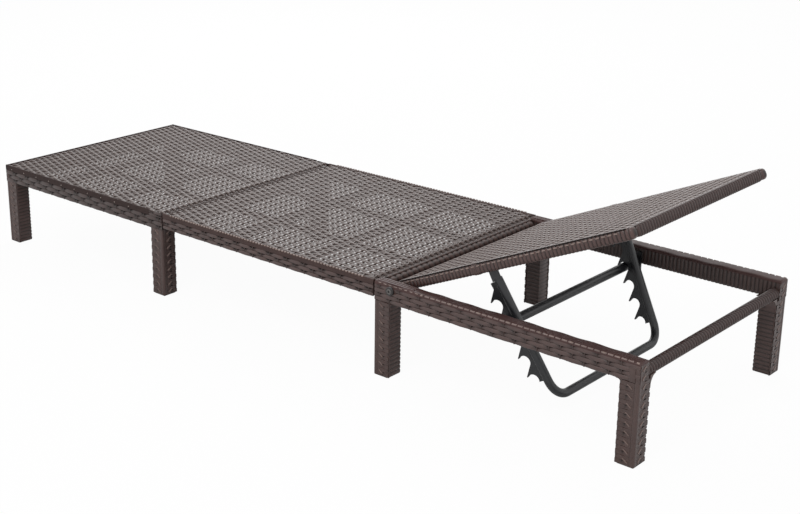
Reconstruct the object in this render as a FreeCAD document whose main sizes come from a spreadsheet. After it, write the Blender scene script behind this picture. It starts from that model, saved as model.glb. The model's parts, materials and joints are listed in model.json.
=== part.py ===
"""Woven garden chaise longue: foot section, hung middle panel, head frame and a backrest on a notched prop.

Frame: origin on the floor under the middle of the footprint, +X from the foot end to the head end,
+Y to the far side, +Z up. Millimetres. The pose is the one at which the prop hooks over its bar.
"""
import FreeCAD, Part
import math
import os
import re

from FreeCAD import Placement, Rotation, Vector

SIZES = {
    # sections along the length
    "foot_length": 636, "mid_length": 670, "head_length": 636, "section_gap": 4, "width": 600,
    # woven decks and the rails under them
    "deck_top": 215, "deck_thick": 6, "strip_pitch": 9.1, "strip_gap": 1.5, "strip_crown": 2.8,
    "deck_edge": 3, "rail_thick": 30, "rail_depth": 44, "mid_depth": 35, "rail_round": 4, "cross_tube": 15,
    "long_tube": 12,
    # legs
    "leg_size": 38, "leg_round": 5, "glide_height": 4, "glide_inset": 1.5, "leg_flare": 13,
    # bolts that join the sections
    "join_bolt": 6, "join_head": 11, "join_head_height": 4, "join_spread": 360, "join_height": 186,
    "join_nut_height": 4, "join_pad": 14, "join_pad_shift": 30, "join_pad_lift": 4, "hole_room": 0.4,
    # head frame
    "head_strip": 24, "head_strip_drop": 4, "end_tube_dia": 25, "end_tube_setback": 13,
    "end_tube_height": 184, "bar_dia": 20, "bracket_plate": 4, "bracket_width": 34, "bracket_rise": 28,
    "bracket_socket": 12, "bracket_wall": 4,
    # backrest and its hinge
    "hinge_setback": 44, "hinge_drop": 14, "back_angle": 24, "back_reach": 590, "back_heel": 10,
    "back_thick": 25, "back_room": 3, "back_tube": 20, "back_cross": 12, "pivot_bolt": 8, "pivot_head": 15,
    "pivot_head_height": 5, "pivot_washer": 20, "pivot_washer_thick": 1.5, "bush_wall": 2, "run_room": 0.05,
    "pivot_spacer": 16, "spacer_room": 0.3,
    # prop
    "prop_setout": 231.3, "prop_sink": 4, "prop_lean": 29.1, "prop_splay": 7.3, "prop_inset": 8,
    "prop_reach": 293, "prop_tube_dia": 18, "prop_bend": 44, "prop_tab": 22, "prop_tab_thick": 4,
    "prop_tab_length": 30, "prop_tab_weld": 5, "prop_bolt_head": 15, "prop_bolt_head_height": 4,
    "prop_spacer": 4, "prop_spacer_dia": 16, "prop_bolt_grip": 15,
    # notched plates on the prop
    "plate_thick": 5, "plate_start": 31.5, "plate_top_width": 13, "first_tooth": 69.5, "tooth_pitch": 42.2,
    "tooth_count": 5, "tooth_reach": 44, "gullet_radius": 13, "gullet_ahead": 9.2, "gullet_inset": 12.5,
    "tip_round": 1.3, "bar_tooth": 2, "seat_room": 0.8, "horn_ahead": 6, "slant_run": 24.5, "slant_drop": 0.5,
}

doc = FreeCAD.newDocument("chaise_longue")
sheet = doc.addObject("Spreadsheet::Sheet", "Sizes")
for row, (alias, number) in enumerate(SIZES.items(), start=1):
    sheet.set(f"A{row}", alias)
    sheet.set(f"B{row}", str(number))
    sheet.setAlias(f"B{row}", alias)
doc.recompute()


def size(alias):
    return float(sheet.get(alias))


nodes = []


def node(obj, label):
    obj.Label = label
    nodes.append(obj)
    return obj


def tied(text):
    """Expression text in which each bare size name reads its cell."""
    return re.sub(r"[a-z_]\w*", lambda word: "Sizes." + word[0] if word[0] in SIZES else word[0], text)


def box(name, spans, x, y, z):
    """Box with its low corner at x, y, z; every argument is an expression on the sizes."""
    obj = doc.addObject("Part::Box", name)
    for prop, text in zip(("Length", "Width", "Height"), spans):
        obj.setExpression(prop, tied(text))
    place(obj, x, y, z)
    return obj


def place(obj, x, y, z):
    """Stand obj at a point whose coordinates are numbers or expressions on the sizes."""
    spot = (x, y, z)
    obj.Placement.Base = Vector(*(0 if isinstance(value, str) else value for value in spot))
    for axis, value in zip("xyz", spot):
        if isinstance(value, str):
            obj.setExpression("Placement.Base." + axis, tied(value))


AXES = {"x": Rotation(Vector(0, 1, 0), 90), "y": Rotation(Vector(1, 0, 0), -90), "z": Rotation()}


def rod(name, diameter, length, x, y, z, axis="y"):
    """Cylinder that runs from x, y, z along +axis."""
    obj = doc.addObject("Part::Cylinder", name)
    obj.setExpression("Radius", tied(f"({diameter}) / 2"))
    obj.setExpression("Height", tied(length))
    obj.Placement = Placement(Vector(), AXES[axis])
    place(obj, x, y, z)
    return obj


def cut(name, base, tools):
    for index, tool in enumerate(tools):
        step = doc.addObject("Part::Cut", f"{name}_cut{index}")
        step.Base = base
        step.Tool = tool
        base = step
    return base


def fuse(name, pieces):
    obj = doc.addObject("Part::MultiFuse", name)
    obj.Shapes = pieces
    return obj


def group(name, pieces):
    obj = doc.addObject("Part::Compound", name)
    obj.Links = pieces
    return obj


def rounded(name, base, radius, along=None, keep=None):
    """Fillet of the straight edges that run along an axis and pass the keep test on their middle point."""
    doc.recompute()
    rows = []
    for number, edge in enumerate(base.Shape.Edges, start=1):
        if edge.Curve.TypeId != "Part::GeomLine":
            continue
        way = edge.tangentAt(edge.FirstParameter)
        if along and abs(way.dot(along)) < 0.999:
            continue
        if keep and not keep(edge.CenterOfMass):
            continue
        rows.append((number, radius, radius))
    obj = doc.addObject("Part::Fillet", name)
    obj.Base = base
    obj.Edges = rows
    return obj


X_AXIS, Y_AXIS, Z_AXIS = Vector(1, 0, 0), Vector(0, 1, 0), Vector(0, 0, 1)

# Section ends along the length, as expressions
LENGTH = "(foot_length + mid_length + head_length + 2 * section_gap)"
FOOT_X = f"(-{LENGTH} / 2)"
FOOT_END = f"({FOOT_X} + foot_length)"
MID_X = f"({FOOT_END} + section_gap)"
MID_END = f"({MID_X} + mid_length)"
HEAD_X = f"({MID_END} + section_gap)"
HEAD_END = f"({HEAD_X} + head_length)"
RAIL_BOTTOM = "(deck_top - rail_depth)"
MID_BOTTOM = "(deck_top - mid_depth)"
DECK_BOTTOM = "(deck_top - deck_thick)"
INNER = "(width - 2 * rail_thick)"
SIDES = (("front", "(-width / 2)", -1), ("back", "(width / 2 - rail_thick)", 1))
# distance of the section bolts from the middle line, front and back
JOIN_Y = ("(-join_spread / 2)", "(join_spread / 2)")


def rail(label, spans, x, y, z, along, holes=()):
    """Woven-over rail: a bar with rounded long edges and any bolt holes through it."""
    bar = box(label + "_bar", spans, x, y, z)
    soft = rounded(label + "_soft", bar, size("rail_round"), along)
    return node(cut(label, soft, holes), label)


def join_holes(label, x, length):
    return [rod(f"{label}_hole{i}", "join_bolt + hole_room", length, x, y, "join_height", "x")
            for i, y in enumerate(JOIN_Y)]


def sketch_on(body, role, name, geometry):
    """Sketch on one of the body's own planes."""
    plane = next(f for f in body.Origin.OriginFeatures if f.Role == role)
    sketch = body.newObject("Sketcher::SketchObject", name)
    sketch.AttachmentSupport = [(plane, "")]
    sketch.MapMode = "FlatFace"
    sketch.addGeometry(geometry, False)
    return sketch


def outline(points):
    """Closed chain of straight lines."""
    corners = [Vector(*point) for point in points]
    return [Part.LineSegment(a, b) for a, b in zip(corners, corners[1:] + corners[:1])]


def strip_deck(label, span, wide):
    """Woven sheet: flat strips side by side along X, with a groove between each two and rounded-off sides.

    It lies on the plane Z = 0 with its low end at the origin and its middle line on X.
    """
    half, thick, edge = size_of(wide) / 2, size("deck_thick"), size("deck_edge")
    strips = round(2 * half / size("strip_pitch"))
    pitch = 2 * half / strips
    body = doc.addObject("PartDesign::Body", label)
    section = sketch_on(body, "YZ_Plane", label + "_section", outline([
        (-half, 0), (half, 0), (half, thick - edge), (half - edge, thick),
        (edge - half, thick), (-half, thick - edge)]))
    pad = body.newObject("PartDesign::Pad", label + "_sheet")
    pad.Profile = section
    pad.setExpression("Length", tied(span))
    groove, gap = pitch - half, size("strip_gap") / 2
    low = thick - size("strip_crown")
    slit = sketch_on(body, "YZ_Plane", label + "_slit", outline(
        [(groove, low), (groove + gap, thick), (groove - gap, thick)]))
    pocket = body.newObject("PartDesign::Pocket", label + "_groove")
    pocket.Profile = slit
    pocket.Type = "ThroughAll"
    pocket.Midplane = True
    row = body.newObject("PartDesign::LinearPattern", label + "_grooves")
    row.Originals = [pocket]
    row.Direction = (slit, ["H_Axis"])
    row.Length = (strips - 2) * pitch
    row.Occurrences = strips - 1
    body.Tip = row
    return body


def size_of(text):
    """Number that an expression on the sizes comes to: a width less some multiples of others."""
    words = re.findall(r"([-+]?)\s*(?:(\d+) \* )?([a-z_]+)", text)
    return sum((-1 if sign == "-" else 1) * int(times or 1) * size(word) for sign, times, word in words)


def deck(label, span, x):
    body = strip_deck(label, span, "width")
    place(body, x, "0", DECK_BOTTOM)
    return node(body, label)


def deck_supports(prefix, span, x):
    """Two cross tubes under the weave and two lengthwise tubes under those, at the thirds."""
    run = f"({span} - 2 * rail_thick)"
    under = f"({DECK_BOTTOM} - cross_tube)"
    cross = [box(f"{prefix}_cross{i}", ("cross_tube", INNER, "cross_tube"),
                 f"{x} + {span} * {i} / 3 - cross_tube / 2", f"-{INNER} / 2", under) for i in (1, 2)]
    node(group(prefix + "_cross_tubes", cross), prefix + "_cross_tubes")
    long = [box(f"{prefix}_long{i}", (run, "long_tube", "long_tube"), f"{x} + rail_thick",
                f"width * {i} / 3 - width / 2 - long_tube / 2", f"{under} - long_tube") for i in (1, 2)]
    node(group(prefix + "_long_tubes", long), prefix + "_long_tubes")


# Foot section: table-like frame with its deck
def foot_section():
    height = "rail_depth - deck_thick"
    for side, y, _ in SIDES:
        rail(f"foot_rail_{side}", ("foot_length", "rail_thick", height), FOOT_X, y, RAIL_BOTTOM, X_AXIS)
    cross = ("rail_thick", INNER, height)
    rail("foot_end_rail", cross, FOOT_X, f"-{INNER} / 2", RAIL_BOTTOM, Y_AXIS)
    inner_x = f"{FOOT_END} - rail_thick"
    rail("foot_inner_rail", cross, inner_x, f"-{INNER} / 2", RAIL_BOTTOM, Y_AXIS,
         join_holes("foot_inner", inner_x, "rail_thick"))
    deck("foot_deck", "foot_length", FOOT_X)
    deck_supports("foot", "foot_length", FOOT_X)


# Middle panel: thinner, without legs, bolted between its neighbours
def middle_panel():
    height = "mid_depth - deck_thick"
    for side, y, _ in SIDES:
        rail(f"mid_rail_{side}", ("mid_length", "rail_thick", height), MID_X, y, MID_BOTTOM, X_AXIS)
    cross = ("rail_thick", INNER, height)
    for end, x in (("foot", MID_X), ("head", f"{MID_END} - rail_thick")):
        rail(f"mid_rail_{end}", cross, x, f"-{INNER} / 2", MID_BOTTOM, Y_AXIS,
             join_holes(f"mid_{end}", x, "rail_thick"))
    deck("mid_deck", "mid_length", MID_X)
    deck_supports("mid", "mid_length", MID_X)


def ring(name, outer, inner, length, x, y, z, axis):
    bore = rod(name + "_in", inner, length, x, y, z, axis)
    return cut(name, rod(name + "_out", outer, length, x, y, z, axis), [bore])


def hexagon(name, diameter, length, x, y, z):
    """Six-sided head or nut that runs from x, y, z along +X."""
    obj = doc.addObject("Part::Prism", name)
    obj.Polygon = 6
    obj.setExpression("Circumradius", tied(f"({diameter}) / 2"))
    obj.setExpression("Height", tied(length))
    obj.Placement = Placement(Vector(), AXES["x"])
    place(obj, x, y, z)
    return obj


# Bolts, cap nuts and rubber pads between the sections
def section_bolts():
    bolts, nuts, pads = [], [], []
    joints = (("foot", FOOT_END, "rail_thick"), ("head", MID_END, "head_strip"))
    for end, gap_x, second in joints:
        head_x = f"{gap_x} - rail_thick"
        grip = f"rail_thick + section_gap + {second}"
        for i, y in enumerate(JOIN_Y):
            name = f"join_{end}{i}"
            bolts.append(fuse(name + "_bolt", [
                rod(name + "_shank", "join_bolt", grip, head_x, y, "join_height", "x"),
                hexagon(name + "_head", "join_head", "join_head_height", f"{head_x} - join_head_height", y,
                        "join_height")]))
            nuts.append(hexagon(name + "_nut", "join_head", "join_nut_height", f"{head_x} + {grip}", y,
                                "join_height"))
            pads.append(box(name + "_pad", ("section_gap", "join_pad", "join_pad"), gap_x,
                            f"{y} + join_pad_shift - join_pad / 2",
                            "join_height + join_pad_lift - join_pad / 2"))
    node(group("join_bolts", bolts), "join_bolts")
    node(group("join_nuts", nuts), "join_nuts")
    node(group("join_pads", pads), "join_pads")


LEG_HEIGHT = f"({RAIL_BOTTOM} - glide_height)"
LEG_Y = {"front": "(-width / 2)", "back": "(width / 2 - leg_size)"}


def straight_leg(label, x, side):
    post = box(label + "_post", ("leg_size", "leg_size", LEG_HEIGHT), x, LEG_Y[side], "glide_height")
    node(rounded(label, post, size("leg_round"), Z_AXIS), label)


def flared_leg(label, side):
    """Head-end leg: its top spreads in a hollow curve under the side rail."""
    body = doc.addObject("PartDesign::Body", label)
    wide, flare = size("leg_size"), size("leg_flare")
    tall = size("deck_top") - size("rail_depth") - size("glide_height")
    corners = [(0, tall), (0, 0), (-wide, 0), (-wide, tall - flare)]
    corner = Vector(-wide - flare, tall, 0)
    points = [Vector(x, z, 0) for x, z in corners]
    hollow = Part.Circle(Vector(-wide - flare, tall - flare, 0), Z_AXIS, flare)
    edges = [Part.LineSegment(start, end) for start, end in zip(points, points[1:])]
    edges += [Part.ArcOfCircle(hollow, 0, math.pi / 2), Part.LineSegment(corner, points[0])]
    sketch = sketch_on(body, "XZ_Plane", label + "_profile", edges)
    pad = body.newObject("PartDesign::Pad", label + "_pad")
    pad.Profile = sketch
    pad.setExpression("Length", "Sizes.leg_size")
    pad.Reversed = True
    place(body, HEAD_END, LEG_Y[side], "glide_height")
    node(body, label)


# Eight legs and the plastic glides under them
def legs():
    columns = (("foot_leg", FOOT_X), ("inner_leg", f"({FOOT_END} - leg_size)"), ("head_leg", HEAD_X))
    for name, x in columns:
        for side in LEG_Y:
            straight_leg(f"{name}_{side}", x, side)
    for side in LEG_Y:
        flared_leg(f"end_leg_{side}", side)
    glides = []
    span = "leg_size - 2 * glide_inset"
    for name, x in columns + (("end_leg", f"({HEAD_END} - leg_size)"),):
        for side, y in LEG_Y.items():
            glides.append(box(f"{name}_{side}_glide", (span, span, "glide_height"), f"{x} + glide_inset",
                              f"{y} + glide_inset", "0"))
    node(group("leg_glides", glides), "leg_glides")


# Places worked out from the hinge: the prop's pivot, its lean and the bar in its notch
hinge = Vector((size("foot_length") + size("mid_length") - size("head_length")) / 2 + size("section_gap")
               + size("hinge_setback"), 0, size("deck_top") - size("hinge_drop"))
back_turn = Placement(hinge, Rotation(Y_AXIS, -size("back_angle")))
prop_pivot = back_turn.multVec(Vector(size("prop_setout"), 0, -size("prop_sink")))
prop_turn = Placement(prop_pivot, Rotation(Y_AXIS, -size("prop_lean")))


def gullet_centre(tooth):
    """Middle of the round notch under a tooth, along the prop's leg and out from it."""
    along = size("first_tooth") + (tooth - 1) * size("tooth_pitch") + size("gullet_ahead")
    return along, size("tooth_reach") - size("gullet_inset")


def seated_bar():
    """Bar axis: in its notch, up against the hook and the web with a little room."""
    along, out = gullet_centre(int(size("bar_tooth")))
    play = (size("gullet_radius") - size("bar_dia") / 2 - size("seat_room")) / math.sqrt(2)
    down = (along - play) * math.cos(math.radians(size("prop_splay")))
    return prop_turn.multVec(Vector(-(out - play), 0, -down))


bar_axis = seated_bar()


# Head frame: side rails, the strip by the hinge, the tube at the head end and the prop's bar
def head_frame():
    bore = "pivot_bolt + hole_room"
    hinge_x, hinge_z = f"{HEAD_X} + hinge_setback", "deck_top - hinge_drop"
    for side, y, _ in SIDES:
        hole = rod(f"head_rail_{side}_hole", bore, "rail_thick", hinge_x, y, hinge_z)
        rail(f"head_rail_{side}", ("head_length", "rail_thick", "rail_depth"), HEAD_X, y, RAIL_BOTTOM, X_AXIS,
             [hole])
    rail("head_cross_rail", ("head_strip", INNER, "rail_depth - head_strip_drop"), HEAD_X, f"-{INNER} / 2",
         RAIL_BOTTOM, Y_AXIS, join_holes("head_cross", HEAD_X, "head_strip"))
    node(rod("head_end_tube", "end_tube_dia", INNER, f"{HEAD_END} - end_tube_setback", f"-{INNER} / 2",
             "end_tube_height"), "head_end_tube")
    bar = rod("prop_bar", "bar_dia", f"{INNER} - 2 * bracket_plate", bar_axis.x,
              f"bracket_plate - {INNER} / 2", bar_axis.z)
    node(bar, "prop_bar")
    for side, inward in (("front", 1), ("back", -1)):
        bar_bracket(side, inward)


def bar_bracket(side, inward):
    """Plate on the side rail's inner face with a round socket for the bar's end."""
    name = f"bar_bracket_{side}"
    face = inward * (size("rail_thick") - size("width") / 2)
    back = face + inward * size("bracket_plate")
    half = size("bracket_width") / 2
    plate = box(name + "_plate", ("bracket_width", "bracket_plate", "bracket_width / 2 + bracket_rise"),
                bar_axis.x - half, min(face, back), bar_axis.z - half)
    cup_y = min(back, back + inward * size("bracket_socket"))
    cup = ring(name + "_cup", "bar_dia + 2 * hole_room + 2 * bracket_wall", "bar_dia + 2 * hole_room",
               "bracket_socket", bar_axis.x, cup_y, bar_axis.z, "y")
    return node(fuse(name, [plate, cup]), name)


def turned(obj, frame):
    obj.Placement = frame.multiply(obj.Placement)
    return obj


def side_rod(name, diameter, length, x, near, z, hand):
    """Rod along Y from a distance off the middle outwards, to the front (-1) or the back (1)."""
    obj = rod(name, diameter, length, x, near, z)
    if hand < 0:
        obj.Placement = Placement(Vector(x, -near, z), Rotation(X_AXIS, 90))
    return obj


# Backrest: a flat frame about its hinge line, drawn flat and then turned to its angle
HALF_BACK = size("width") / 2 - size("rail_thick") - size("back_room")
BACK_TOP = size("hinge_drop")
BACK_FRAME_TOP = BACK_TOP - size("deck_thick")
BACK_BOTTOM = BACK_TOP - size("back_thick")
TUBE_INNER = HALF_BACK - size("back_tube")
PROP_HALF = TUBE_INNER - size("prop_inset")
TAB_INNER = TUBE_INNER - size("prop_spacer") - size("spacer_room") - size("prop_tab_thick")
HANDS = (("front", -1), ("back", 1))


def backrest():
    tall = "back_thick - deck_thick"
    long = "back_heel + back_reach"
    heel = -size("back_heel")
    between = "width - 2 * rail_thick - 2 * back_room - 2 * back_tube"
    for side, hand in HANDS:
        name = f"backrest_tube_{side}"
        tube = box(name + "_bar", (long, "back_tube", tall), heel, TUBE_INNER if hand > 0 else -HALF_BACK,
                   BACK_BOTTOM)
        soft = rounded(name + "_soft", tube, size("rail_round"), X_AXIS, lambda p: p.z < 0)
        bush = side_rod(name + "_bush_hole", "pivot_bolt + 2 * run_room + 2 * bush_wall", "back_tube", 0,
                        TUBE_INNER, 0, hand)
        bolt = side_rod(name + "_bolt_hole", "pivot_bolt + hole_room", "prop_bolt_grip", size("prop_setout"),
                        TUBE_INNER, -size("prop_sink"), hand)
        node(turned(cut(name, soft, [bush, bolt]), back_turn), name)
    ends = (("hinge", heel), ("head", size("back_reach") - size("back_tube")))
    for end, x in ends:
        tube = box(f"backrest_tube_{end}", ("back_tube", between, tall), x, -TUBE_INNER, BACK_BOTTOM)
        node(turned(tube, back_turn), f"backrest_tube_{end}")
    cross = [box(f"backrest_cross{i}", ("back_cross", between, "back_cross"), x, -TUBE_INNER,
                 BACK_FRAME_TOP - size("back_cross"))
             for i, x in enumerate((size("prop_setout") * 0.6, size("prop_setout") * 1.7))]
    node(turned(group("backrest_cross_tubes", cross), back_turn), "backrest_cross_tubes")
    cover = strip_deck("backrest_deck", long, "width - 2 * rail_thick - 2 * back_room")
    cover.Placement = Placement(Vector(heel, 0, BACK_FRAME_TOP), Rotation())
    node(turned(cover, back_turn), "backrest_deck")


def hinge_parts():
    """Flanged shoulder bolts in the side rails, bushes in the backrest, and the prop's own bolts.

    A collar on each bolt keeps the turning piece off the one that the bolt is screwed into.
    """
    bolts, bushes, props = [], [], []
    outer = size("width") / 2
    for side, hand in HANDS:
        at = (hinge.x, hinge.z)
        name = f"pivot_{side}"
        bolts.append(fuse(name + "_bolt", [
            side_rod(name + "_shank", "pivot_bolt", "pivot_washer_thick + rail_thick + back_room + back_tube",
                     at[0], TUBE_INNER, at[1], hand),
            side_rod(name + "_collar", "pivot_spacer", "back_room - spacer_room", at[0],
                     HALF_BACK + size("spacer_room"), at[1], hand),
            side_rod(name + "_flange", "pivot_washer", "pivot_washer_thick", at[0], outer, at[1], hand),
            side_rod(name + "_head", "pivot_head", "pivot_head_height", at[0],
                     outer + size("pivot_washer_thick"), at[1], hand)]))
        bushes.append(side_ring(name + "_bush", "pivot_bolt + 2 * run_room + 2 * bush_wall",
                                "pivot_bolt + 2 * run_room", "back_tube", (0, 0), TUBE_INNER, hand))
        at = (size("prop_setout"), -size("prop_sink"))
        name = f"prop_{side}"
        near = TAB_INNER - size("spacer_room")
        shank = "prop_tab_thick + spacer_room + spacer_room + prop_spacer + prop_bolt_grip"
        props.append(fuse(name + "_bolt", [
            side_rod(name + "_shank", "pivot_bolt", shank, at[0], near, at[1], hand),
            side_rod(name + "_collar", "prop_spacer_dia", "prop_spacer", at[0],
                     TUBE_INNER - size("prop_spacer"), at[1], hand),
            side_rod(name + "_head", "prop_bolt_head", "prop_bolt_head_height", at[0],
                     near - size("prop_bolt_head_height"), at[1], hand)]))
    node(group("pivot_bolts", bolts), "pivot_bolts")
    for label, pieces in (("pivot_bushes", bushes), ("prop_bolts", props)):
        node(turned(group(label, pieces), back_turn), label)


def side_ring(name, outer, inner, length, at, near, hand):
    parts = [side_rod(f"{name}_{part}", diameter, length, at[0], near, at[1], hand)
             for part, diameter in (("out", outer), ("in", inner))]
    return cut(name, parts[0], parts[1:])


# Prop: a splayed U of round tube with flattened ends, hung from the backrest
def spread(down):
    """Distance of a leg's axis from the middle line, that far below the pivot."""
    return PROP_HALF - down * math.tan(math.radians(size("prop_splay")))


def prop_tube():
    splay = math.radians(size("prop_splay"))
    reach, bend = size("prop_reach"), size("prop_bend")
    top = size("prop_tab_length") - size("prop_tab_weld")
    tangent = bend * math.tan((math.pi / 2 - splay) / 2)
    corner = spread(reach)
    inner = corner - tangent
    leg_end = (corner + tangent * math.sin(splay), -reach + tangent * math.cos(splay))
    path = doc.addObject("Sketcher::SketchObject", "prop_path")
    path.Placement = Placement(Vector(), Rotation(Y_AXIS, Z_AXIS, X_AXIS))
    points = [Vector(-spread(top), -top), Vector(-leg_end[0], leg_end[1]), Vector(-inner, -reach),
              Vector(inner, -reach), Vector(leg_end[0], leg_end[1]), Vector(spread(top), -top)]
    for sign, first in ((-1, 1), (1, 3)):
        centre = Vector(sign * inner, -reach + bend, 0)
        turn = (math.pi + splay, 1.5 * math.pi) if sign < 0 else (1.5 * math.pi, 2 * math.pi - splay)
        path.addGeometry(Part.ArcOfCircle(Part.Circle(centre, Z_AXIS, bend), *turn), False)
    for start, end in ((0, 1), (2, 3), (4, 5)):
        path.addGeometry(Part.LineSegment(points[start], points[end]), False)
    ring_at = Vector(0, -spread(top), -top)
    section = doc.addObject("Part::Circle", "prop_section")
    section.setExpression("Radius", "Sizes.prop_tube_dia / 2")
    section.Placement = Placement(ring_at, Rotation(Z_AXIS, Vector(0, math.sin(splay), -math.cos(splay))))
    doc.recompute()
    sweep = doc.addObject("Part::Sweep", "prop_sweep")
    sweep.Sections = [section]
    sweep.Spine = (path, [f"Edge{i + 1}" for i in range(len(path.Shape.Edges))])
    sweep.Solid = True
    pieces = [sweep]
    holes = []
    near = TAB_INNER
    for side, hand in HANDS:
        y = near if hand > 0 else -near - size("prop_tab_thick")
        pieces.append(box(f"prop_tab_{side}", ("prop_tab", "prop_tab_thick", "prop_tab_length"),
                          -size("prop_tab") / 2, y, -size("prop_tab_length")))
        pieces.append(side_rod(f"prop_tab_round_{side}", "prop_tab", "prop_tab_thick", 0, near, 0, hand))
        holes.append(side_rod(f"prop_tab_hole_{side}", "pivot_bolt + 2 * run_room", "prop_tab_thick", 0, near,
                              0, hand))
    node(turned(cut("prop_tube", fuse("prop_tube_whole", pieces), holes), prop_turn), "prop_tube")


def tangent_points(one, two):
    """Ends of the straight edge between two arcs: centre, radius and sense (1 is anticlockwise)."""
    (ax, ay), ar, sense_a = one
    (bx, by), br, sense_b = two
    gap = math.hypot(bx - ax, by - ay)
    offset = sense_a * ar - sense_b * br
    run = math.sqrt(max(gap * gap - offset * offset, 0))
    way = math.atan2(by - ay, bx - ax) + math.atan2(offset, run)
    normal = (math.sin(way), -math.cos(way))
    first = (ax + sense_a * ar * normal[0], ay + sense_a * ar * normal[1])
    second = (bx + sense_b * br * normal[0], by + sense_b * br * normal[1])
    return first, second


def plate_outline():
    """Closed chain of the notched plate: along the leg, out from it; hooked teeth between round gullets."""
    web = size("prop_tube_dia") / 2
    begin, shoulder = size("plate_start"), web + size("plate_top_width")
    tip, reach = size("tip_round"), size("tooth_reach")
    count = int(size("tooth_count"))
    arcs = []
    for tooth in range(1, count + 1):
        at = size("first_tooth") + (tooth - 1) * size("tooth_pitch")
        arcs.append(((at - 1, reach - tip), tip, -1))
        arcs.append((gullet_centre(tooth), size("gullet_radius"), 1))
    slant = (size("first_tooth") - size("slant_run"), shoulder - size("slant_drop"))
    joints = [tangent_points((slant, 0, 1), arcs[0])]
    joints += [tangent_points(a, b) for a, b in zip(arcs, arcs[1:])]
    (end_x, end_y), radius, _ = arcs[-1]
    horn_x = end_x + size("horn_ahead")
    horn = (horn_x, end_y - math.sqrt(radius ** 2 - size("horn_ahead") ** 2))
    chain = [Part.LineSegment(Vector(begin, web), Vector(begin, shoulder)),
             Part.LineSegment(Vector(begin, shoulder), Vector(*slant)),
             Part.LineSegment(Vector(*slant), Vector(*joints[0][1]))]
    for index, ((cx, cy), r, sense) in enumerate(arcs):
        start = joints[index][1]
        stop = joints[index + 1][0] if index + 1 < len(joints) else horn
        chain.append(arc_between((cx, cy), r, sense, start, stop))
        if index + 1 < len(joints):
            chain.append(Part.LineSegment(Vector(*stop), Vector(*joints[index + 1][1])))
    chain.append(Part.LineSegment(Vector(*horn), Vector(horn_x, web)))
    chain.append(Part.LineSegment(Vector(horn_x, web), Vector(begin, web)))
    return chain


def arc_between(centre, radius, sense, start, stop):
    first = math.atan2(start[1] - centre[1], start[0] - centre[0])
    last = math.atan2(stop[1] - centre[1], stop[0] - centre[0])
    if sense < 0:
        first, last = last, first
    return Part.ArcOfCircle(Part.Circle(Vector(*centre), Z_AXIS, radius), first, last)


def notch_plates():
    splay = math.radians(size("prop_splay"))
    for side, hand in HANDS:
        label = f"notch_plate_{side}"
        body = doc.addObject("PartDesign::Body", label)
        sketch = sketch_on(body, "XY_Plane", label + "_outline", plate_outline())
        pad = body.newObject("PartDesign::Pad", label + "_pad")
        pad.Profile = sketch
        pad.setExpression("Length", "Sizes.plate_thick")
        pad.Midplane = True
        down = Vector(0, -hand * math.sin(splay), -math.cos(splay))
        out = Vector(-1, 0, 0)
        local = Placement(Vector(0, hand * PROP_HALF, 0), Rotation(down, out, down.cross(out)))
        body.Placement = prop_turn.multiply(local)
        node(body, label)


foot_section()
middle_panel()
section_bolts()
legs()
head_frame()
backrest()
hinge_parts()
prop_tube()
notch_plates()
doc.recompute()

for obj in doc.Objects:
    if any(word in ("Invalid", "Error") for word in obj.State):
        raise RuntimeError(f"{obj.Name}: {obj.State}")
os.makedirs("parts", exist_ok=True)
for obj in nodes:
    if obj.Shape.isNull() or not obj.Shape.isValid():
        raise RuntimeError(f"{obj.Label}: shape is not sound")
    obj.Shape.exportStep(f"parts/{obj.Label}.step")
print(len(nodes), "nodes written")
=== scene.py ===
"""Dark woven garden chaise longue on a pale floor: strand weave over the CAD frame, black steel prop."""
import json
import math

import bpy
from mathutils import Matrix, Vector


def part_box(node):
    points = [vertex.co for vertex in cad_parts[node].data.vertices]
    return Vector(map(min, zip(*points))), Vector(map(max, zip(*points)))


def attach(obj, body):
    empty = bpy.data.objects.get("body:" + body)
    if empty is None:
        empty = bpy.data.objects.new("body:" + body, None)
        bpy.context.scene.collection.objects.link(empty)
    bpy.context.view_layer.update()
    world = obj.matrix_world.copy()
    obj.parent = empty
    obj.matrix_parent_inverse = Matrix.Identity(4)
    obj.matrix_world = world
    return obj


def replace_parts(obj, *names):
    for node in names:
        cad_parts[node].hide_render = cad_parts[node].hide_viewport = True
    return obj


MM = 0.001
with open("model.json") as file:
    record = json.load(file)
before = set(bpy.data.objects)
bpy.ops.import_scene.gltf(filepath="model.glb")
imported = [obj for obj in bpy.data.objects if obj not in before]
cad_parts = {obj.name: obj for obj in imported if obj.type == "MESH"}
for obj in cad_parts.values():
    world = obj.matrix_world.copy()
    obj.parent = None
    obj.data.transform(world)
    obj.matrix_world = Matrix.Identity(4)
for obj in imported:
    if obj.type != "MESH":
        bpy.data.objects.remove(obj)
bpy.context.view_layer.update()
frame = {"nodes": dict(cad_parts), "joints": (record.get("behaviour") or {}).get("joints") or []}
nodes = frame["nodes"]
joint_at = {joint["name"]: Vector(joint["pos_m"]) for joint in frame["joints"]}

# Strands of the weaves, in metres: width, thickness and lift. The rows of a face set the width of its strips
DECK_STRIP = (8.95 * MM, 1.3 * MM, 1.45 * MM)
DECK_CORD = (5.0 * MM, 2.2 * MM, 0.5 * MM)
BACK_STRIP = (8.4 * MM, 1.2 * MM, 2.0 * MM)
BACK_CORD = (4.6 * MM, 2.0 * MM, 0.4 * MM)
FACE_STRIP = (1.3 * MM, 0.8 * MM)
FACE_CORD = (3.0 * MM, 1.2 * MM, 0.3 * MM)
LEG_STRIP = (9.5 * MM, 1.2 * MM, 0.5 * MM)
STRAND_CUTS = 7
TURN_CUTS = 4

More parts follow.
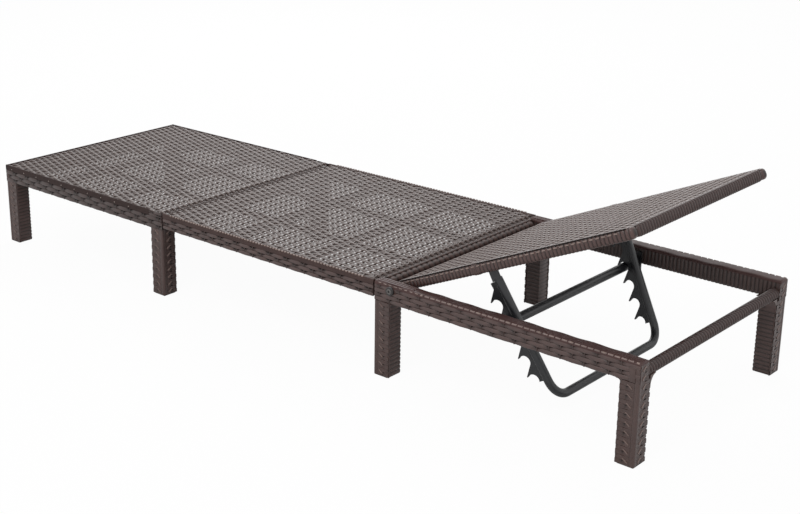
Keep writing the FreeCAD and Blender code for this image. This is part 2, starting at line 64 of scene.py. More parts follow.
# How the dips of each weave are drawn in, and the painted shade that darkens them: in the dips, along lower
# corners by edge, all over by shade
DECK_DIPS = {"pinch": 0.12, "sharp": 4, "edge": 0.3}
BACK_DIPS = {"pinch": 0.07, "sharp": 0.5, "edge": 0.3, "shade": 0.95, "spread": 0.9}
FACE_DIPS = {"pinch": 0.35, "sharp": 2.4, "edge": 0.2, "sided": True, "shade": 0.5, "spread": 0.4}
HEAD_FACE_DIPS = {**FACE_DIPS, "sharp": 4, "spread": 0.08}
LEG_DIPS = {"pinch": 0.2, "sharp": 5, "edge": 0.0, "crown": 0.96, "sided": True}
# The legs' faces towards the ends take painted shade all over by their shade
LEG_END_DIPS = {"pinch": 0.5, "sharp": 6, "edge": 0.0, "crown": 0.96, "shade": 0.2}

# Decks, in metres: pitches of rows and crossings, folded ends and edge strips
DECK_ROW = 9.1 * MM
FOOT_CROSS = 27 * MM
MID_CROSS = 26 * MM
END_LAP = 4 * MM
END_DROP = 26 * MM
END_SHADE = 6.8 * MM
ROLL = 16 * MM
ROLL_DROP = 7 * MM
FOOT_BAND = (15 * MM, 4.5 * MM)
MID_BAND = (13 * MM, 7 * MM)
PATCH = 46 * MM
TACK_PITCH = 54 * MM
TACK_RADIUS = 1.5 * MM
MID_STITCH = (5 * MM, 3 * MM, 3 * MM)
MID_STITCH_START = 30 * MM
MID_STITCH_FREE = 50 * MM

# Rails, in metres: turns of strand, and woven faces
RIB = 9.3 * MM
RAIL_SOFT = 4 * MM
SKIN = 0.9 * MM
FACE_DEEP = 4.0 * MM
FACE_GAP = 0.6 * MM
FACE_CROSS = 27 * MM
FACE_ROWS = 3
FACE_LAP = 1.01
FOOT_DROP = 2 * MM
MID_DROP = 4 * MM
TWIST_PITCH = 18.2 * MM
HEAD_ROWS = 4
CAP_TALL = 7 * MM
CAP_SINK = 4 * MM
CAP_RIPPLE = 2.0 * MM
CAP_CUTS = 50
CAP_RUN = (98 * MM, 5.4 * MM, 3.4 * MM)
STITCH_PITCH = 14 * MM
GLEAM_PITCH = 14.4 * MM
KNOT_PITCH = 72 * MM
TUBE_TURN = 9.5 * MM
TUBE_SWELL = 3.2 * MM

# Legs, in metres and radians
LEG = 38 * MM
LEG_WRAP = 3 * MM
LEG_SKIN = 1.0 * MM
LEG_DEEP = 3.3 * MM
LEG_DROP = 2.5 * MM
LEG_CORNER = 10 * MM
CORNER_PLATE = 13 * MM
CORNER_RISE = {"foot_leg": 30 * MM, "end_leg": 36 * MM}
STAKE_LEAN = math.radians(36)
STAKE_LONG = 13 * MM
STAKE_SHIFT = 6 * MM
RISE_TRIM = 8 * MM
FLARE_WIDE = 24 * MM
FLARE_DEEP = 20 * MM
FLARE_TALL = 30 * MM
FLARE_LIFT = 6 * MM
FLARE_BACK = 13 * MM
FLARE_INSET = 1.4 * MM
FLARE_CUTS = 8

# Backrest, in metres and radians
BACK_ANGLE = math.radians(24)
BACK_CROSSES = 20
BACK_ROWS = 62
BACK_RIM = 5 * MM
STRAP = (202 * MM, 217 * MM)
STRAP_PITCH = 4.8 * MM
BACK_STITCH = (8 * MM, 2.2 * MM, 2.6 * MM)
BACK_STITCH_PITCH = RIB * 1.5
BACK_STITCH_START = 20 * MM
BACK_STITCH_FREE = 30 * MM
SHADOW_LINE = 2.2 * MM

# Hinge bolts, in metres: radius, depth and height of the middle, then rim and depth of the socket
BOLT_HEAD = (5.8 * MM, 5 * MM)
BOLT_FLANGE = (9.6 * MM, 4.4 * MM, -1.2 * MM)
BOLT_SHANK = (4 * MM, 54 * MM, -31 * MM)
BOLT_SOCKET = (2.6 * MM, 3.4 * MM)

# The photo's camera, in pixels, metres and degrees
PHOTO_SIZE = (800, 514)
FOCAL = 1397.1
CENTRE = (334.0, 216.2)
CAMERA_AT = (2.1256, -2.3930, 1.2487)
CAMERA_TURN = (72.009, -0.012, 42.262)
SENSOR = 36

# Lamps: name, place, size in metres and power in watts
LAMPS = (
    ("key", (1.2, -2.8, 3.3), 2.2, 60),
    ("back", (-2.6, 2.6, 2.6), 2.6, 55),
    ("fill", (3.4, 0.6, 2.2), 2.0, 6),
)
LAMP_AIM = Vector((0, 0, 0.15))

# White surround, as a lamp and as it is seen, and the floor: size in metres, tone and share of glow
SKY_LIGHT = 0.55
SKY_SEEN = 1.0
FLOOR_SIZE = 40
FLOOR_TONE = 0.93
FLOOR_GLOW = 0.96


class Wire:
    """A shader socket that takes part in Python arithmetic by adding Math nodes."""

    def __init__(self, shade, socket):
        self.shade = shade
        self.socket = socket

    def math(self, operation, first, second):
        return self.shade.node("Math", {"operation": operation}, {0: first, 1: second})

    def __add__(self, other):
        return self.math("ADD", self, other)

    def __sub__(self, other):
        return self.math("SUBTRACT", self, other)

    def __rsub__(self, other):
        return self.math("SUBTRACT", other, self)

    def __mul__(self, other):
        return self.math("MULTIPLY", self, other)


class Shade:
    """A material and the one way in which nodes are added to it."""

    def __init__(self, name):
        self.material = bpy.data.materials.new(name)
        self.material.use_nodes = True
        self.tree = self.material.node_tree
        self.tree.nodes.clear()

    def node(self, kind, settings=None, sockets=None, out=0):
        made = self.tree.nodes.new("ShaderNode" + kind)
        for key, value in (settings or {}).items():
            setattr(made, key, value)
        for key, value in (sockets or {}).items():
            if isinstance(value, Wire):
                self.tree.links.new(value.socket, made.inputs[key])
            else:
                made.inputs[key].default_value = value
        return Wire(self, made.outputs[out])

    def blend(self, share, low, high):
        """Colour between two others."""
        return self.node("Mix", {"data_type": "RGBA"}, {0: share, 6: low, 7: high}, 2)

    def noise(self, where, scale, detail=2.0):
        return self.node("TexNoise", {}, {"Vector": where, "Scale": scale, "Detail": detail})

    def stretched(self, factors):
        """Object coordinates scaled along each axis."""
        place = self.node("TexCoord", out=3)
        return self.node("Mapping", {}, {"Vector": place, "Scale": factors})

    def surface(self, shader):
        output = self.tree.nodes.new("ShaderNodeOutputMaterial")
        self.tree.links.new(shader.socket, output.inputs["Surface"])
        return self.material


def colour(red, green, blue):
    """Linear colour of an sRGB triple from 0 to 255."""
    parts = [c / 255 for c in (red, green, blue)]
    return tuple(((c + 0.055) / 1.055) ** 2.4 if c > 0.04045 else c / 12.92 for c in parts) + (1,)


def strand_material(name, dark, light, run, rough=0.42, coat=0.25, gloss=0.5):
    """Extruded plastic strand: streaks along its run, uneven tone, soft sheen, and painted shade in its dips
    that darkens it and takes its coat away.
    """
    shade = Shade(name)
    long, fine = 60, 900
    patches = 38.0
    factors = tuple(long if axis == run else fine for axis in "xyz")
    streak = shade.noise(shade.stretched(factors), 1.0, 3)
    patch = shade.noise(shade.stretched((1, 1, 1)), patches, 2)
    tone = streak * 0.55 + patch * 0.75 - 0.15
    dip_shade = shade.node("Attribute", {"attribute_name": "dip_shade"}, out=2)
    # dip_shade is painted shade: it blends the strand towards near-black and takes away its coat in dips,
    # grooves and between strands
    base = shade.blend(dip_shade * 0.85, shade.blend(tone, dark, light), colour(20, 13, 12))
    bump = shade.node("Bump", {}, {"Strength": 0.25, "Distance": 0.0006, "Height": streak})
    skin = shade.node("BsdfPrincipled", {}, {
        "Base Color": base, "Roughness": streak * 0.16 + (rough - 0.08), "Normal": bump,
        "Coat Weight": (1 - dip_shade) * coat, "Coat Roughness": 0.28, "Specular IOR Level": gloss})
    return shade.surface(skin)


def steel_material(name, tint, rough):
    """Powder-coated steel: fine orange-peel bump and a faintly uneven gloss."""
    shade = Shade(name)
    grain = shade.noise(shade.stretched((1, 1, 1)), 900.0, 2)
    cloud = shade.noise(shade.stretched((1, 1, 1)), 14.0, 3)
    bump = shade.node("Bump", {}, {"Strength": 0.12, "Distance": 0.0004, "Height": grain})
    worn = tuple(min(1, c * 1.6 + 0.004) for c in tint[:3]) + (1,)
    skin = shade.node("BsdfPrincipled", {}, {
        "Base Color": shade.blend(cloud, tint, worn), "Roughness": cloud * 0.18 + (rough - 0.09),
        "Normal": bump, "Metallic": 0.0, "Coat Weight": 0.2, "Coat Roughness": 0.3})
    return shade.surface(skin)


DECK_STRAND = strand_material("deck_strand", colour(55, 40, 36), colour(85, 66, 60), "x", 0.45, 0.12, 0.38)
# The backrest strand has a lighter base than the deck strand: its own tone with a painted sheen of the
# grazing view
BACK_SHEEN_STRAND = strand_material("back_sheen_strand", colour(86, 68, 63), colour(124, 104, 98), "x", 0.5, 0.85, 0.05)
RAIL_STRAND = strand_material("rail_strand", colour(54, 36, 33), colour(86, 62, 57), "x", 0.42, 0.4)
# A darker copy of the rail strand: painted shade over the foot end
SHADED_FOOT_STRAND = strand_material("shaded_foot_strand", colour(43, 28, 25), colour(72, 51, 46), "x", 0.42, 0.4)
LEG_STRAND = strand_material("leg_strand", colour(53, 36, 33), colour(82, 60, 55), "z")
INNER_STRAND = strand_material("inner_strand", colour(50, 35, 32), colour(76, 56, 51), "z")
RIM_STRAND = strand_material("rim_strand", colour(56, 36, 33), colour(86, 60, 55), "y")
HEAD_RIM_STRAND = strand_material("head_rim_strand", colour(44, 28, 26), colour(70, 48, 44), "x",
                                  0.45, 0.15, 0.4)
# Lighter strand for the slanted stakes on the legs: painted highlights on the braid
STAKE_HIGHLIGHT_STRAND = strand_material("stake_highlight_strand", colour(88, 69, 64), colour(124, 103, 96), "z")
TWIST_STRAND = strand_material("twist_strand", colour(54, 39, 36), colour(84, 64, 59), "x", 0.55, 0.0, 0.2)
DARK_EDGE = strand_material("edge_band", colour(40, 28, 26), colour(60, 44, 41), "x", 0.6, 0.0, 0.22)
MID_EDGE = strand_material("mid_band", colour(50, 34, 31), colour(74, 54, 50), "x", 0.55, 0.05, 0.3)
# Near-black sheets and cords of painted shade: behind the woven faces, in the legs' holes and under the
# backrest weave's edge
PAINTED_SHADE = strand_material("painted_shade", colour(18, 13, 12), colour(30, 22, 20), "x", 0.7, 0.0, 0.2)
TACK = steel_material("tack_metal", colour(136, 124, 118), 0.4)
# Pale strand for the short gleams along the head rails' top edge: painted sheen
SHEEN_STRAND = strand_material("sheen_strand", colour(62, 44, 41), colour(166, 144, 138), "x", 0.35, 0.3)
CAP_STRAND = strand_material("cap_strand", colour(52, 33, 32), colour(80, 55, 52), "x", 0.5, 0.1, 0.3)
STITCH = strand_material("stitch_strand", colour(112, 92, 85), colour(152, 132, 124), "x", 0.35, 0.3)
BLACK_STEEL = steel_material("black_steel", colour(21, 22, 25), 0.36)
TUBE_COAT = steel_material("tube_coat", colour(48, 36, 33), 0.5)
FASTENER = steel_material("dark_bolt", colour(82, 79, 77), 0.34)
PLASTIC = steel_material("black_plastic", colour(30, 28, 28), 0.55)


def deselect():
    bpy.ops.object.select_all(action="DESELECT")


def activate(obj):
    deselect()
    obj.select_set(True)
    bpy.context.view_layer.objects.active = obj


def select_in(obj, kind, test):
    """Edit mode with the edges or faces selected whose corner points pass the test."""
    activate(obj)
    bpy.ops.object.mode_set(mode="EDIT")
    bpy.ops.mesh.select_mode(type=kind)
    bpy.ops.mesh.select_all(action="DESELECT")
    bpy.ops.object.mode_set(mode="OBJECT")
    points = obj.data.vertices
    for item in (obj.data.edges if kind == "EDGE" else obj.data.polygons):
        item.select = test([points[i].co for i in item.vertices])
    bpy.ops.object.mode_set(mode="EDIT")


def leave():
    bpy.ops.object.mode_set(mode="OBJECT")


def bar(name, size, centre):
    """Cube primitive at its size and place."""
    deselect()
    bpy.ops.mesh.primitive_cube_add(size=1, location=centre)
    obj = bpy.context.object
    obj.name = name
    obj.scale = size
    bpy.ops.object.transform_apply(location=True, rotation=True, scale=True)
    return obj


def along(axis):
    """Test for edges that run along an axis."""
    def test(ends):
        way = ends[1] - ends[0]
        return abs(way[axis]) > 0.99 * way.length
    return test


def bevel(obj, offset, segments, test):
    """Round the edges whose ends pass the test."""
    select_in(obj, "EDGE", test)
    bpy.ops.mesh.bevel(offset=offset, segments=segments, affect="EDGES")
    leave()


def subdivide(obj, axis, cuts):
    """Cut the edges that run along an axis into equal parts."""
    select_in(obj, "EDGE", along(axis))
    bpy.ops.mesh.subdivide(number_cuts=cuts)
    leave()


def arrayed(obj, count, step):
    if count < 2:
        return obj
    activate(obj)
    copies = obj.modifiers.new("repeat", "ARRAY")
    copies.count = count
    copies.use_relative_offset = False
    copies.use_constant_offset = True
    copies.constant_offset_displace = step
    copies.use_merge_vertices = True
    copies.merge_threshold = 1e-5
    bpy.ops.object.modifier_apply(modifier=copies.name)
    return obj


def joined(name, pieces):
    deselect()
    for piece in pieces:
        piece.select_set(True)
    bpy.context.view_layer.objects.active = pieces[0]
    if len(pieces) > 1:
        bpy.ops.object.join()
    pieces[0].name = name
    return pieces[0]


def set_down(obj, matrix):
    """Move a piece made at the origin to its place, in its mesh."""
    obj.data.transform(matrix)
    obj.data.update()
    return obj


def dressed(obj, material, body, smooth=50):
    obj.data.materials.clear()
    obj.data.materials.append(material)
    activate(obj)
    bpy.ops.object.shade_smooth_by_angle(angle=math.radians(smooth))
    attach(obj, body)
    return obj


def strand(name, length, width, thick, lift, wave, pinch, sharp, edge, crown=0.7, sided=False, shade=0.0,
           spread=0.0):
    """One length of flat strand along X, crowned on top, lifted by wave(x) and drawn narrow in its dips.

    The dip_shade attribute paints shade on it: by shade all over, by edge along its lower corners, fully at
    the bottom of its dips.
    Dips begin at the height of spread. A sided strand is drawn in and darkened along its upper edge alone.
    """
    obj = bar(name, (length, width, thick), (length / 2, 0, 0))
    subdivide(obj, 0, STRAND_CUTS)
    open_ends(obj)
    dips = obj.data.attributes.new("dip_shade", "FLOAT", "POINT")
    for point, dip_shade in zip(obj.data.vertices, dips.data):
        low = point.co.z < 0
        if not low:
            point.co.y *= crown
        height = wave(point.co.x)
        deep = (max(0, spread - height) / (1 + spread)) ** sharp
        if sided:
            deep *= 2 if point.co.y > 0 else 0
        dip_shade.value = max(min(1, deep), edge if low else 0, shade)
        point.co.y *= 1 - pinch * deep
        point.co.z += lift * height
    return obj


def open_ends(obj):
    """Remove the faces that close a bar along X."""
    select_in(obj, "FACE", lambda c: max(p.x for p in c) - min(p.x for p in c) < 1e-7)
    bpy.ops.mesh.delete(type="FACE")
    leave()


def woven(name, length, width, crosses, rows, strip, cord, dips):
    """Plain weave in X and Y from the origin: strips along X, cords along Y, each a pair of opposite waves.

    strip and cord are (width, thickness, lift). dips says how the strips are drawn in and darkened with
    painted shade; its shade paints shade all over the cords.
    """
    step, pitch = length / crosses, width / rows
    strip_dips = {key: value for key, value in dips.items() if key != "shade"}
    cord_dips = {"pinch": 0, "sharp": 2, "edge": dips["edge"], "shade": dips.get("shade", 0.0)}
    pieces = []
    for number in (0, 1):
        sign = 1 - 2 * number
        run = strand("strip", 2 * step, *strip,
                     lambda x: sign * math.cos(math.pi * (x / step - 0.5)), **strip_dips)
        arrayed(run, math.ceil(crosses / 2), (2 * step, 0, 0))
        set_down(run, Matrix.Translation((0, (number + 0.5) * pitch, 0)))
        pieces.append(arrayed(run, (rows + 1 - number) // 2, (0, 2 * pitch, 0)))
        over = strand("cord", 2 * pitch, *cord,
                      lambda x: -sign * math.cos(math.pi * (x / pitch - 0.5)), **cord_dips)
        arrayed(over, math.ceil(rows / 2), (2 * pitch, 0, 0))
        turn = Matrix.Rotation(math.pi / 2, 4, "Z")
        set_down(over, Matrix.Translation(((number + 0.5) * step, 0, 0)) @ turn)
        pieces.append(arrayed(over, (crosses + 1 - number) // 2, (2 * step, 0, 0)))
    sheet = joined(name, pieces)
    for odd, limit, axis in ((crosses % 2, length, 0), (rows % 2, width, 1)):
        if odd:
            trim(sheet, limit, axis)
    return sheet


def trim(obj, limit, axis):
    """Cut away what lies past a limit along an axis."""
    activate(obj)
    bpy.ops.object.mode_set(mode="EDIT")
    bpy.ops.mesh.select_all(action="SELECT")
    place, way = [0, 0, 0], [0, 0, 0]
    place[axis], way[axis] = limit, 1
    bpy.ops.mesh.bisect(plane_co=place, plane_no=way, clear_outer=True)
    leave()


def wound(name, length, wide, tall, pitch, soft, crown=1.1 * MM, lean=0.0, nose=0.0, groove=3):
    """Bar along X from the origin, wound with strand in swollen turns.

    The turns slant by lean and take painted shade in between by groove; nose draws the bar in at its ends.
    """
    count = max(1, round(length / pitch))
    step = length / count
    turn = bar(name, (step, wide, tall), (step / 2, 0, 0))
    bevel(turn, soft, 2, along(0))
    subdivide(turn, 0, TURN_CUTS)
    open_ends(turn)
    dips = turn.data.attributes.new("dip_shade", "FLOAT", "POINT")
    for point, dip_shade in zip(turn.data.vertices, dips.data):
        part = 2 * point.co.x / step - 1
        dip_shade.value = abs(part) ** groove
        sink = crown * (1 - math.sqrt(max(0, 1 - (0.98 * part) ** 2)))
        point.co.y *= 1 - 2 * sink / wide
        point.co.z *= 1 - 2 * sink / tall
    arrayed(turn, count, (step, 0, 0))
    for place in (0, length):
        select_in(turn, "EDGE", lambda e: all(abs(p.x - place) < 1e-6 for p in e))
        bpy.ops.mesh.edge_face_add()
        leave()
    for point in turn.data.vertices:
        inward = 1 - nose * max(0, 1 - min(point.co.x, length - point.co.x) / step) ** 2
        point.co.y *= inward
        point.co.z *= inward
        point.co.x += lean * (point.co.y - point.co.z)
    return turn


def side_matrix(origin, x_way, y_way):
    """Frame whose X and Y lie on a face, with its Z pointing out of it."""
    x_way, y_way = Vector(x_way), Vector(y_way)
    z_way = x_way.cross(y_way)
    rows = [(x_way[i], y_way[i], z_way[i], origin[i]) for i in range(3)]
    return Matrix(rows + [(0, 0, 0, 1)])


def wound_box(name, low, high, axis, pitch, soft, crown=1.1 * MM, lean=0.0, nose=0.0, groove=3):
    """Wound bar that fills a box, with its length along an axis."""
    size, middle = high - low, (low + high) / 2
    start = Vector(middle)
    start[axis] = low[axis]
    ways = {0: ((1, 0, 0), (0, 1, 0)), 1: ((0, 1, 0), (-1, 0, 0)), 2: ((0, 0, 1), (1, 0, 0))}[axis]
    wide, tall = {0: (size.y, size.z), 1: (size.x, size.z), 2: (size.x, size.y)}[axis]
    obj = wound(name, size[axis], wide, tall, pitch, soft, crown, lean, nose, groove)
    return set_down(obj, side_matrix(start, *ways))


def deck_weave(node, cross_pitch, rolled):
    """Open strand weave in place of a flat deck's sheet, rolled down at the ends named by their sign, with
    painted shade along those ends.
    """
    low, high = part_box(node)
    length, width = high.x - low.x, high.y - low.y
    crosses = round(length / cross_pitch / 2) * 2
    rows = round(width / DECK_ROW / 2) * 2
    sheet = woven(node + "_weave", length, width, crosses, rows, DECK_STRIP, DECK_CORD, DECK_DIPS)
    for point, dip_shade in zip(sheet.data.vertices, sheet.data.attributes["dip_shade"].data):
        for sign in rolled:
            left = length - point.co.x if sign > 0 else point.co.x
            point.co.z -= ROLL_DROP * max(0, 1 - left / ROLL) ** 2
            # painted shade along the rolled end, fading out over END_SHADE
            dip_shade.value = max(dip_shade.value, 1 - left / END_SHADE)
    set_down(sheet, Matrix.Translation((low.x, low.y, (low.z + high.z) / 2)))
    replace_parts(dressed(sheet, DECK_STRAND, "frame"), node)


def deck_end(name, node, sign):
    """Strips folded down over the end of a deck, one beside the next, with a round shoulder."""
    low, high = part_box(node)
    rows = round((high.y - low.y) / DECK_ROW / 2) * 2
    pitch = (high.y - low.y) / rows
    x = (high if sign > 0 else low).x
    size = Vector((END_LAP, pitch * 0.96, END_DROP))
    top = high.z - ROLL_DROP
    one = bar(name, size, (x - sign * END_LAP / 2, low.y + pitch / 2, top - END_DROP / 2))
    bevel(one, 2.5 * MM, 4,
          lambda e: along(1)(e) and e[0].z > top - 2 * MM and sign * (e[0].x - x) > -1e-6)
    bevel(one, 1.0 * MM, 1,
          lambda e: not along(1)(e) and (e[0].z + e[1].z) / 2 > top - END_DROP
          and abs(e[0].y - e[1].y) < 1e-7 and sign * ((e[0].x + e[1].x) / 2 - x) > -END_LAP + 1e-4)
    arrayed(one, rows, (0, pitch, 0))
    # The folded strips take the dark edge-band strand, darker than the deck strand: painted shade down the
    # gap between sections
    return dressed(one, DARK_EDGE, "frame")


def core(node, inset, material, body="frame"):
    """The CAD piece drawn in by an inset, for strands to lie on."""
    mesh = nodes[node].data.copy()
    obj = bpy.data.objects.new(node + "_core", mesh)
    bpy.context.scene.collection.objects.link(obj)
    activate(obj)
    bpy.ops.object.mode_set(mode="EDIT")
    bpy.ops.mesh.select_all(action="SELECT")
    bpy.ops.mesh.remove_doubles(threshold=1e-5)
    bpy.ops.mesh.normals_make_consistent(inside=False)
    bpy.ops.transform.shrink_fatten(value=-inset)
    leave()
    return dressed(obj, material, body)


def woven_face(name, origin, way, length, tall, rows, look=RAIL_STRAND, dips=FACE_DIPS):
    """Woven outer face of a rail over a near-black sheet of painted shade, from its lower edge up, with
    strips along the rail.
    """
    up = Vector((0, 0, 1))
    crosses = max(2, round(length / FACE_CROSS))
    strip = (FACE_LAP * tall / rows, *FACE_STRIP)
    sheet = woven(name, length, tall, crosses, rows, strip, FACE_CORD, dips)
    frame_of = side_matrix(origin, way, up)
    dressed(set_down(sheet, frame_of), look, "frame")
    shade_sheet = bar(name + "_ground", (length, tall, 0.6 * MM), (length / 2, tall / 2, -1.9 * MM))
    bevel(shade_sheet, 0.25 * MM, 1, along(0))
    dressed(set_down(shade_sheet, frame_of), PAINTED_SHADE, "frame")


def edge_band(name, low, high, out_axis, sign, tall, lap, material):
    """Smooth strip folded over a deck's edge: down the face and a little way in over the top."""
    size = high - low
    length_axis = 1 - out_axis
    face = [0, 0, 0]
    face[out_axis], face[length_axis], face[2] = lap, size[length_axis], tall
    centre = (low + high) / 2
    centre[out_axis] = (high if sign > 0 else low)[out_axis] - sign * lap / 2
    centre.z = high.z - tall / 2
    band = bar(name, face, centre)
    bevel(band, min(5 * MM, lap * 0.45), 4, lambda e: along(length_axis)(e) and e[0].z > centre.z)
    bevel(band, 1.2 * MM, 2, lambda e: along(length_axis)(e) and e[0].z < centre.z)
    return dressed(band, material, "frame")


def tacks(name, start, step, count, way):
    """Round tack heads in a row, each a low dome facing out."""
    deselect()
    bpy.ops.mesh.primitive_uv_sphere_add(segments=8, ring_count=5, radius=TACK_RADIUS)
    head = bpy.context.object
    flat = 0.55
    head.data.transform(Matrix.Diagonal(Vector([flat if abs(c) > 0.5 else 1 for c in way] + [1])))
    head.data.transform(Matrix.Translation(start))
    arrayed(head, count, step)
    head.name = name
    return dressed(head, TACK, "frame", 80)


def stitches(name, start, way, pitch, count, size, body, place=None, look=STITCH):
    """Short rounded lengths of strand in a row, one behind the other."""
    one = bar(name, size, (0, 0, 0))
    bevel(one, min(size[1], size[2]) * 0.35, 2, along(0))
    arrayed(one, count, (pitch, 0, 0))
    set_down(one, side_matrix(start, way, Vector((0, 0, 1)).cross(Vector(way))))
    if place:
        set_down(one, place)
    return dressed(one, look, body)


def section(prefix, band, lap, drop):
    """Rails, edge strips and woven side faces of the foot section or the middle panel, lower by drop."""
    low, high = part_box(prefix + "_deck")
    length = high.x - low.x
    for side, sign in (("front", -1), ("back", 1)):
        rail = f"{prefix}_rail_{side}"
        rail_low, rail_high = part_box(rail)
        y = (low if sign < 0 else high).y
        rail_low.z -= drop
        inner_low, inner_high = Vector(rail_low), Vector(rail_high)
        if sign < 0:
            inner_low.y += FACE_DEEP
        else:
            inner_high.y -= FACE_DEEP
        if prefix == "foot":
            inner_low.x += FACE_DEEP
        turns = wound_box(rail + "_wrap", inner_low, inner_high, 0, RIB, RAIL_SOFT)
        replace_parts(dressed(turns, INNER_STRAND, "frame"), rail)
        start = Vector((low.x if sign < 0 else high.x, y - sign * SKIN, rail_low.z + FACE_GAP))
        # the foot section takes the darker copy of the rail strand: painted shade
        look = SHADED_FOOT_STRAND if prefix == "foot" else RAIL_STRAND
        woven_face(rail + "_weave", start, (-sign, 0, 0), length, high.z - band - start.z, FACE_ROWS, look)
        if prefix == "foot":
            edge_band(f"foot_edge_{side}", low, high - Vector((PATCH, 0, 0)), 1, sign, band, lap, DARK_EDGE)
            patch = Vector((high.x - (PATCH if sign < 0 else 0), start.y, high.z - band))
            woven_face(rail + "_corner_weave", patch, (-sign, 0, 0), PATCH, band - 1.5 * MM, 2, look)
            tacks(f"foot_tacks_{side}", (low.x + TACK_PITCH / 2, y + sign * 0.2 * MM, high.z - band * 0.6),
                  (TACK_PITCH, 0, 0), int((length - PATCH) / TACK_PITCH), (0, sign, 0))
        else:
            edge_band(f"mid_edge_{side}", low, high, 1, sign, band, lap, MID_EDGE)
            first = Vector((low.x + MID_STITCH_START, y - sign * 0.5 * MM, high.z - 0.5 * MM))
            count = int((length - MID_STITCH_FREE) / DECK_ROW)
            stitches(f"mid_stitches_{side}", first, (1, 0, 0), DECK_ROW, count, MID_STITCH, "frame")


section("foot", *FOOT_BAND, FOOT_DROP)
section("mid", *MID_BAND, MID_DROP)
deck_weave("foot_deck", FOOT_CROSS, (1,))
deck_weave("mid_deck", MID_CROSS, (-1, 1))
deck_end("foot_deck_inner_end", "foot_deck", 1)
deck_end("mid_deck_foot_end", "mid_deck", -1)
deck_end("mid_deck_head_end", "mid_deck", 1)

# Foot-end rail: woven outside like the side rails
end_low, end_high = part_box("foot_end_rail")
end_low.z -= FOOT_DROP
deck_low, deck_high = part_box("foot_deck")
foot_end = wound_box("foot_end_rail_wrap", end_low + Vector((FACE_DEEP, 0, 0)), end_high, 1, RIB, RAIL_SOFT)
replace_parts(dressed(foot_end, INNER_STRAND, "frame"), "foot_end_rail")
edge_band("foot_edge_end", deck_low, deck_high, 0, -1, *FOOT_BAND, DARK_EDGE)
woven_face("foot_end_rail_weave", Vector((deck_low.x + SKIN, deck_high.y, end_low.z + FACE_GAP)), (0, -1, 0),
           deck_high.y - deck_low.y, deck_high.z - FOOT_BAND[0] - end_low.z - FACE_GAP, FACE_ROWS,
           SHADED_FOOT_STRAND)

# Cross rails under the decks' ends, wound all round
for rail in ("foot_inner_rail", "mid_rail_foot", "mid_rail_head"):
    made = wound_box(rail + "_wrap", *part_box(rail), 1, RIB, RAIL_SOFT)
    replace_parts(dressed(made, INNER_STRAND, "frame"), rail)

# Strip by the hinge: wound on the slant, with piping along its edge
cross_low, cross_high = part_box("head_cross_rail")
strip = wound_box("head_cross_rail_wrap", cross_low - Vector((0.5 * MM, 0, 0)),
                  cross_high + Vector((0, 0, 1 * MM)), 1, TWIST_PITCH,
                  soft=5 * MM, crown=2.2 * MM, lean=0.6, groove=2)
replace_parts(dressed(strip, TWIST_STRAND, "frame"), "head_cross_rail")
piping_low = Vector((cross_low.x + 0.5 * MM, cross_low.y + 4 * MM, cross_high.z - 2 * MM))
piping_high = Vector((cross_low.x + 9 * MM, -piping_low.y, piping_low.z + 5 * MM))
piping = wound_box("head_cross_rail_piping", piping_low, piping_high, 1, TWIST_PITCH,
                   soft=2.2 * MM, crown=0.5 * MM)
dressed(piping, TWIST_STRAND, "frame")


